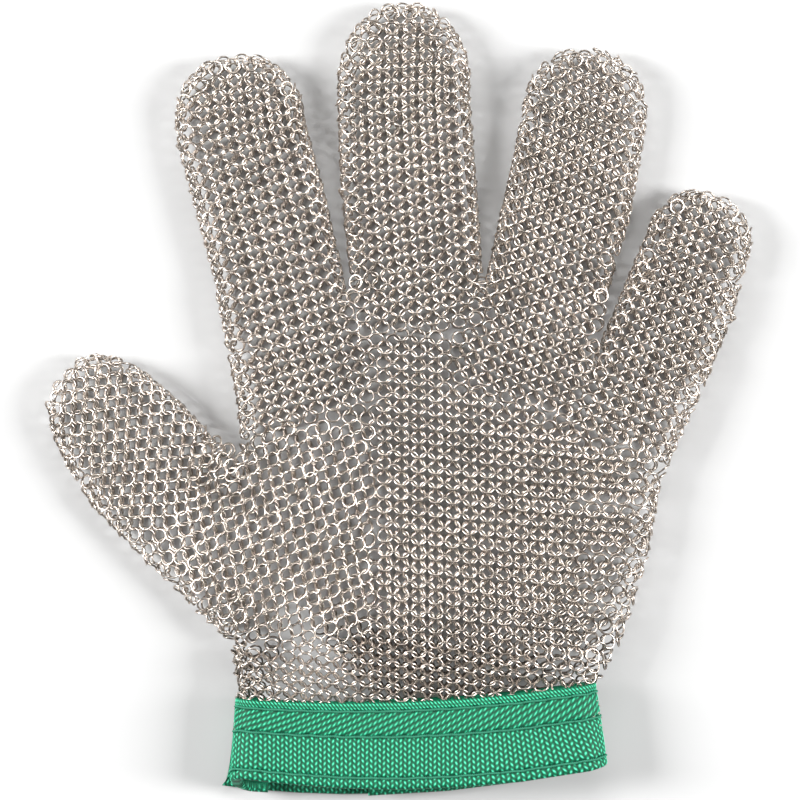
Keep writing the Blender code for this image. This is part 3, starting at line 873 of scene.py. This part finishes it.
def weave(across, down, length, band):
    """Height of the weave, from 0 in the gaps to 1 on the crowns of the threads. It also sets the tape's
    colour: painted shade in the gaps, the stitch channels and the needle holes, and painted highlight on the
    crowns.
    """
    front = np.clip((band.middle - across) / band.half_front, -1.0, 1.0)
    lines = [share * length for share in STITCH_SHARES]
    run = band.middle - across
    rise = np.tan(RIB_SLOPE) * run + RIB_FAN / 2 * run * front
    rib_phase = (-down - rise) * np.cos(RIB_SLOPE + RIB_FAN * front) / RIB
    upper = wave(rib_phase) ** CREST * (0.1 + 0.9 * wave((run + BEAD_SLANT * down) / BEAD))
    lean = LOW_LEAN * np.clip(front, 0.0, 1.0) ** 2
    rib = (run - lean * (down - lines[1])) / LOW_RIB
    side = 1.0 - 2.0 * (np.floor(rib) % 2)
    slant = side * (rib - np.floor(rib) - 0.5) * LOW_RIB * LOW_SLANT
    lower = wave(rib + 0.5) ** CREST * (0.15 + 0.85 * wave((down + slant) / LOW_BEAD + 0.25 * side))
    lip = wave((run - LIP_SLANT * down) / BEAD) * (0.5 + 0.5 * wave(down + 0.5))
    height = np.where(down < lines[0], lip, np.where(down < lines[1], upper, lower))
    for line in lines:
        height = height * (1 - 0.6 * np.exp(-(((down - line) / (CHANNEL_WIDTH * 0.6)) ** 2)))
    return height * (1 - needle_holes(across, down, lines))


def needle_holes(across, down, lines):
    """1 in the middle of each hole that the needle leaves, falling to 0 beside it."""
    along = (across / STITCH - np.round(across / STITCH)) * STITCH
    near = 0.0
    for line in lines:
        near = near + np.exp(-((along / HOLE_LENGTH) ** 2) - ((down - line) / HOLE_WIDTH) ** 2)
    return np.clip(near, 0.0, 1.0)


def channels(across, down, length):
    """How far the stitching pulls the tape in."""
    lines = [share * length for share in STITCH_SHARES]
    pulled = sum(CHANNEL_DEPTH * np.exp(-(((down - line) / CHANNEL_WIDTH) ** 2)) for line in lines)
    return pulled + HOLE_DEPTH * needle_holes(across, down, lines)


def grid_faces(rows, columns):
    """Quads over a grid of points whose last row joins the first."""
    i, j = np.meshgrid(np.arange(rows), np.arange(columns - 1), indexing="ij")
    a, b = i * columns + j, (i + 1) % rows * columns + j
    return np.stack((a, a + 1, b + 1, b), -1).reshape(-1, 4)


def add_mesh(name, points, faces, material, slot, shade=None):
    """A smooth mesh from points in millimetres, with a value from 0 to 1 at each of them, which paints the
    cloth's shade and highlight.
    """
    mesh = bpy.data.meshes.new(name)
    corners = [tuple(point) for point in np.asarray(points) * MM]
    mesh.from_pydata(corners, [], [tuple(face) for face in faces])
    mesh.validate()
    mesh.update()
    mesh.shade_smooth()
    values = mesh.attributes.new("crown", "FLOAT", "POINT")
    shade = np.full(len(points), 0.5) if shade is None else shade
    values.data.foreach_set("value", np.asarray(shade, np.float32))
    mesh.materials.append(material)
    piece = placed(name, mesh)
    return piece


def band_rows(length):
    """The tape's section: rows of distance below the top edge, depth from the outer face,
    how much the weave shows, and the angle that the surface has turned from the outer face."""
    rows = []
    flat_end = length - FOLD_ROUND
    for down in np.linspace(0.25, flat_end, round(flat_end / CLOTH_STEP)):
        rows.append((down, 0.0, 1.0, 0.0))
    for start, middle in ((0, FOLD_ROUND), (90, BAND_DEPTH - FOLD_ROUND)):
        for angle in np.radians(np.linspace(start, start + 90, 6))[0 if start else 1:]:
            down, depth = FOLD_ROUND * math.sin(angle), FOLD_ROUND * math.cos(angle)
            rows.append((flat_end + down, middle - depth, 1.0, angle))
    for down in np.linspace(flat_end, 0.0, round(flat_end / COARSE_STEP))[1:]:
        rows.append((down, BAND_DEPTH, 0.0, math.pi))
    slot_end = length - SLOT_FLOOR
    return rows + [
        (-0.1, BAND_DEPTH - TAPE_THICK / 2, 0.0, math.pi),
        (LIP, BAND_DEPTH - TAPE_THICK, 0.0, math.pi),
        (slot_end, BAND_DEPTH - TAPE_THICK, 0.0, math.pi),
        (slot_end, TAPE_THICK, 0.0, 0.0),
        (LIP, TAPE_THICK, 0.0, 0.0),
        (0.0, TAPE_THICK * 0.8, 0.6, 0.0),
        (-0.1, TAPE_THICK * 0.45, 1.0, 0.0),
        (0.03, TAPE_THICK * 0.12, 1.0, 0.0),
    ]


def closed_tube(rows, columns):
    """The faces of a grid whose last row joins the first, with a cap at each end."""
    faces = [tuple(face) for face in grid_faces(rows, columns)]
    faces.append(tuple(row * columns for row in range(rows)))
    faces.append(tuple(row * columns + columns - 1 for row in reversed(range(rows))))
    return faces


def make_band(material):
    band = Band()
    lengths = band.columns[:, 4] - band.columns[:, 5]
    length = lengths.mean()
    points, shades = [], []
    for down, depth, shown, angle in band_rows(length):
        stretched = down * lengths / length
        place = band.places(stretched, depth)
        height = weave(band.marks, stretched, lengths, band)
        relief = RELIEF * (height - RELIEF_LEVEL) - channels(band.marks, stretched, lengths)
        lift = shown * relief * np.cos(angle) * (depth < BAND_DEPTH / 2)
        points.append(place + band.outward() * lift[:, None])
        # painted shade in the weave's gaps and painted highlight on its crowns, from the weave's height
        shades.append(np.clip(0.5 + shown * (height - 0.5), 0, 1))
    faces = [face[::-1] for face in closed_tube(len(points), len(band.marks))]
    points, shades = np.concatenate(points), np.concatenate(shades)
    piece = add_mesh("folded_band", points, faces, material, "green_tape", shades)
    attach(piece, "hand")
    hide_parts("cuff_band")
    return band


def ply_tube(line, radius, twist, sides=5):
    """Two thin strands twisted round each other along a line: points and faces."""
    line = np.asarray(line)
    steps = np.gradient(line, axis=0)
    steps /= np.linalg.norm(steps, axis=1)[:, None]
    beside = np.cross(steps, UP)
    beside /= np.linalg.norm(beside, axis=1)[:, None]
    above = np.cross(beside, steps)
    travelled = np.concatenate(([0.0], np.cumsum(np.linalg.norm(np.diff(line, axis=0), axis=1))))
    points, faces = [], []
    around = np.arange(sides) * 2 * np.pi / sides
    for strand in (0.0, np.pi):
        turn = (travelled / twist * 2 * np.pi + strand)[:, None]
        middle = line + (beside * np.cos(turn) + above * np.sin(turn)) * radius * STRAND_OFFSET
        out = [(beside * math.cos(a) + above * math.sin(a)) * radius * STRAND_SIZE for a in around]
        first = sum(len(part) for part in points)
        points.append(np.stack([middle + step for step in out], 1).reshape(-1, 3))
        for index in range(len(line) - 1):
            a = first + index * sides
            b = a + sides
            for side in range(sides):
                after = (side + 1) % sides
                faces.append((a + side, a + after, b + after, b + side))
        faces.append(tuple(first + side for side in reversed(range(sides))))
        faces.append(tuple(first + (len(line) - 1) * sides + side for side in range(sides)))
    return np.concatenate(points), faces


def make_stitching(band, material):
    """Three rows of lock stitches round the band: each stitch dips into a hole at its ends."""
    lengths = band.columns[:, 4] - band.columns[:, 5]
    sewn = slice(6, -6)  # the columns between the ends of the tape
    marks, out = band.marks[sewn], band.outward()[sewn]
    for row, share in zip(("upper", "middle", "lower"), STITCH_SHARES):
        places = band.places(share * lengths, 0.0)[sewn]
        dip = np.abs(np.sin(np.pi * marks / STITCH)) ** 0.4
        lift = THREAD_RADIUS * 0.6 - CHANNEL_DEPTH * 0.6 - STITCH_DIP * (1 - dip)
        wander = THREAD_WANDER * np.sin(marks * 1.1 + share * 9)
        line = places + out * lift[:, None] + np.array((0.0, 1.0, 0.0)) * wander[:, None]
        tube = ply_tube(line, THREAD_RADIUS, THREAD_TWIST)
        piece = add_mesh(f"stitches_{row}", *tube, material, "green_thread")
        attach(piece, "hand")
        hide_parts(f"stitch_{row}")


# ---- strap, bar tack and press stud ----
def make_strap(material):
    """The strap, sewn at its root and bent at the hinge: a flat tape of ribbed weave."""
    boxes = np.array([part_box("strap_root"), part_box("strap_tail")]) / MM
    low, high = boxes[:, 0].min(0), boxes[:, 1].max(0)
    solid = BVHTree.FromPolygons(*node_faces(["strap_root", "strap_tail"]))
    xs = np.arange(low[0], high[0], STRAP_STEP)
    middle_z = (low[2] + high[2]) / 2
    tops, feet, known = [], [], []
    for x in xs:
        top = hit(solid, (x, FAR, middle_z), (0, -1, 0))
        foot = hit(solid, (x, -FAR, middle_z), (0, 1, 0))
        if top is not None and foot is not None:
            known.append(x)
            tops.append(top[1])
            feet.append(foot[1])
    tops, feet = np.interp(xs, known, tops), np.interp(xs, known, feet)
    half = (high[2] - low[2]) / 2 - STRAP_RELIEF / 2
    rows = [(share, 1.0) for share in np.linspace(0, 1, STRAP_ROWS)]
    rows += [(share, -1.0) for share in np.linspace(1, 0, STRAP_ROWS)]
    points, shades = [], []
    for share, side in rows:
        y = tops + (feet - tops) * share
        edge = np.minimum(np.abs(tops - y), np.abs(y - feet))
        rib = wave(xs / LOW_RIB + 0.12 * np.sin(y * 2 * np.pi / LOW_BEAD))
        height = rib * (0.35 + 0.65 * wave(y / LOW_BEAD + 0.5 * (np.floor(xs / LOW_RIB + 0.5) % 2)))
        rounding = half * (1 - np.sqrt(np.clip(1 - (1 - np.clip(edge / half, 0, 1)) ** 2, 0, 1)))
        z = middle_z + side * (half - rounding * 0.8 + STRAP_RELIEF * (height - 0.5))
        lean = STRAP_LEAN * (1 - share) * np.clip(1 - (xs - xs[0]) / STRAP_LEAN_REACH, 0, 1)
        points.append(np.stack((xs + lean, y, z), 1))
        # painted shade in the strap's gaps and painted highlight on its crowns, from the rib's height
        shades.append(height)
    points, shades = np.concatenate(points), np.concatenate(shades)
    faces = closed_tube(len(rows), len(xs))
    piece = add_mesh("strap", points, faces, material, "green_tape", shades)
    hinge = joints["strap_peel"]
    at = np.array(hinge["pos_m"])
    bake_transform(piece, hinge["parent"], hinge["child"], at, at + np.array((STRAP_BEND, 0, 0)))
    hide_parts("strap_root", "strap_tail")


def make_bartack(material):
    """A close zigzag of thread that sews the strap's root to the band."""
    low, high = (np.array(corner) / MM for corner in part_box("strap_bartack"))
    turns = np.arange(0.0, (high[1] - low[1]) / TACK_STEP, 0.125)
    swing = np.sin(turns * np.pi)
    x = (low[0] + high[0]) / 2 + TACK_HALF * np.clip(1.6 * swing, -1, 1)
    z = low[2] + TACK_REST - TACK_DIP * np.clip(np.abs(swing) - 0.75, 0, 1) / 0.25
    line = np.stack((x, low[1] + turns * TACK_STEP, z), 1)
    tube = ply_tube(line, TACK_RADIUS, 1.0, sides=4)
    piece = add_mesh("bartack", *tube, material, "green_thread")
    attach(piece, "hand")
    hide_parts("strap_bartack")


def turned(name, profile, centre, material, body, stands_for):
    """A turned metal piece: its profile of (radius, z), down the outside, spun upright."""
    turns = np.arange(TURN_STEPS) * 2 * np.pi / TURN_STEPS
    points = []
    for radius, z in profile:
        x, y = centre[0] + radius * np.cos(turns), centre[1] + radius * np.sin(turns)
        points.append(np.stack((x, y, np.full(TURN_STEPS, z)), 1))
    faces = tube_faces(len(profile), TURN_STEPS)
    faces.append(tuple(range(TURN_STEPS)))
    faces.append(tuple((len(profile) - 1) * TURN_STEPS + j for j in reversed(range(TURN_STEPS))))
    piece = add_mesh(name, np.concatenate(points), faces, material, "snap_metal")
    piece.data.set_sharp_from_angle(angle=math.radians(40))
    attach(piece, body)
    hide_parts(stands_for)


def arc(centre, radius, start, end, steps=6):
    """Points of a profile's rounded stretch, with angles in degrees."""
    return [
        (centre[0] + radius * math.cos(angle), centre[1] + radius * math.sin(angle))
        for angle in np.radians(np.linspace(start, end, steps))
    ]


def make_snap(material):
    """The domed cap with its rolled rim, and the rim of the post on the other side."""
    low, high = (np.array(corner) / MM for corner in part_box("snap_cap"))
    centre = (low + high) / 2
    foot = low[2]
    cap = [(1.5, high[2]), (1.5, foot + 0.85), (5.6, foot + 0.85)]
    cap += arc((5.85, foot + 0.45), 0.42, 80, -80, 8) + [(5.5, foot + 0.12)]
    for turn in np.linspace(1.5, 0.0, 8):
        cap.append((0.9 + 4.5 * math.sin(turn), foot + 0.02 + 0.28 * (1 - math.cos(turn))))
    turned("cap_of_snap", cap, centre, material, "strap", "snap_cap")
    low, high = (np.array(corner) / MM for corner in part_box("snap_post"))
    post = [(3.4, high[2] - 0.1), (3.7, high[2])] + arc((4.15, high[2] - 0.24), 0.24, 90, -90, 7)
    post += [(1.5, high[2] - 0.48), (1.5, low[2])]
    turned("post_of_snap", post, centre, material, "hand", "snap_post")


# ---- materials of the band ----
def cloth_material(name, dark, middle, light, roughness):
    """Woven threads: painted shade in the gaps and painted highlight on the crowns, from the crown value,
    with slight patches and fine fibres.
    """
    material, nodes, links, shader = node_material(name)
    crown = nodes.new("ShaderNodeAttribute")
    crown.attribute_name = "crown"
    # from painted shade at the dark end to painted highlight at the light end
    ramp = ramp_node(nodes, (0.05, dark), (0.5, middle), (1, light))
    patches = noise_node(nodes, 260)
    spread = math_node(nodes, "MULTIPLY_ADD", 0.5)
    shifted = math_node(nodes, "SUBTRACT", 0.25)
    links.new(patches.outputs["Fac"], spread.inputs[0])
    links.new(crown.outputs["Fac"], spread.inputs[2])
    links.new(spread.outputs["Value"], shifted.inputs[0])
    links.new(shifted.outputs["Value"], ramp.inputs["Fac"])
    links.new(ramp.outputs["Color"], shader.inputs["Base Color"])
    fibres = noise_node(nodes, 5200)
    bump = nodes.new("ShaderNodeBump")
    bump.inputs["Strength"].default_value = 0.5
    bump.inputs["Distance"].default_value = 0.0001
    links.new(fibres.outputs["Fac"], bump.inputs["Height"])
    links.new(bump.outputs["Normal"], shader.inputs["Normal"])
    shader.inputs["Roughness"].default_value = roughness
    shader.inputs["Specular IOR Level"].default_value = 0.25
    return material


def snap_material():
    """Dull nickel over brass, with fine wear."""
    material, nodes, links, shader = node_material("snap_nickel")
    wear = noise_node(nodes, 420)
    wear.inputs["Detail"].default_value = 6
    ramp = ramp_node(nodes, (0, (0.20, 0.17, 0.09)), (1, (0.42, 0.38, 0.26)))
    links.new(wear.outputs["Fac"], ramp.inputs["Fac"])
    links.new(ramp.outputs["Color"], shader.inputs["Base Color"])
    uneven_roughness(nodes, links, shader, wear, 0.25, 0.5)
    shader.inputs["Metallic"].default_value = 1.0
    return material


# The twill's dark colour is painted shade for the weave's gaps and its light colour a painted highlight for
# its crowns; the thread's colours vary with the patches only.
TWILL_SHADES = (0.0, 0.03, 0.014), (0.001, 0.18, 0.085), (0.10, 0.75, 0.46)
THREAD_SHADES = (0.01, 0.10, 0.06), (0.03, 0.20, 0.12), (0.07, 0.30, 0.19)
TAPE = cloth_material("green_twill", *TWILL_SHADES, 0.55)
THREAD = cloth_material("stitch_thread", *THREAD_SHADES, 0.7)
NICKEL = snap_material()
the_band = make_band(TAPE)
make_stitching(the_band, THREAD)
make_strap(TAPE)
make_bartack(THREAD)
make_snap(NICKEL)
for node in ("snap_socket", "snap_stud"):
    carried = frame["nodes"][node]
    carried.data.materials.clear()
    carried.data.materials.append(NICKEL)


# ---- floor, light and camera ----
def make_floor():
    mesh = bpy.data.meshes.new("floor")
    corners = [(-1, -1), (1, -1), (1, 1), (-1, 1)]
    mesh.from_pydata([(x * FLOOR_HALF, y * FLOOR_HALF, 0) for x, y in corners], [], [range(4)])
    floor = placed("floor", mesh)
    material, _, _, shader = node_material("pale_floor")
    shader.inputs["Base Color"].default_value = (0.42, 0.42, 0.42, 1)
    shader.inputs["Roughness"].default_value = 0.9
    mesh.materials.append(material)
    floor.location.z = -0.0002


def soft_box(name, place, size, power):
    light = bpy.data.lights.new(name, "AREA")
    light.shape = "RECTANGLE"
    light.size, light.size_y = size
    light.energy = power
    lamp = placed(name, light)
    lamp.location = place
    lamp.rotation_euler = Vector(place).to_track_quat("Z", "Y").to_euler()


def studio_world():
    """Faint light from all around, and a pale backdrop behind the floor that lights nothing."""
    world = bpy.data.worlds.new("studio")
    world.use_nodes = True
    nodes, links = world.node_tree.nodes, world.node_tree.links
    path = nodes.new("ShaderNodeLightPath")
    strength = math_node(nodes, "MULTIPLY_ADD", BACKDROP_SHADE, WORLD_LIGHT)
    links.new(path.outputs["Is Camera Ray"], strength.inputs[0])
    links.new(strength.outputs["Value"], nodes["Background"].inputs["Strength"])
    nodes["Background"].inputs["Color"].default_value = (1, 1, 1, 1)
    bpy.context.scene.world = world


make_floor()
studio_world()
soft_box("left_box", (-1.1, 0.15, 0.72), (0.4, 0.8), 40)
soft_box("right_box", (1.1, 0.0, 0.72), (0.4, 0.8), 37)
soft_box("top_box", (0.0, 1.0, 0.9), (0.8, 0.3), 8)
bpy.context.scene.view_settings.view_transform = "Standard"

camera = placed("camera", bpy.data.cameras.new("camera"))
camera.data.lens = 180
camera.data.sensor_width = 36
camera.location = (0.0003, 0.00004, 1.008)
camera.data.clip_end = 20
bpy.context.scene.camera = camera
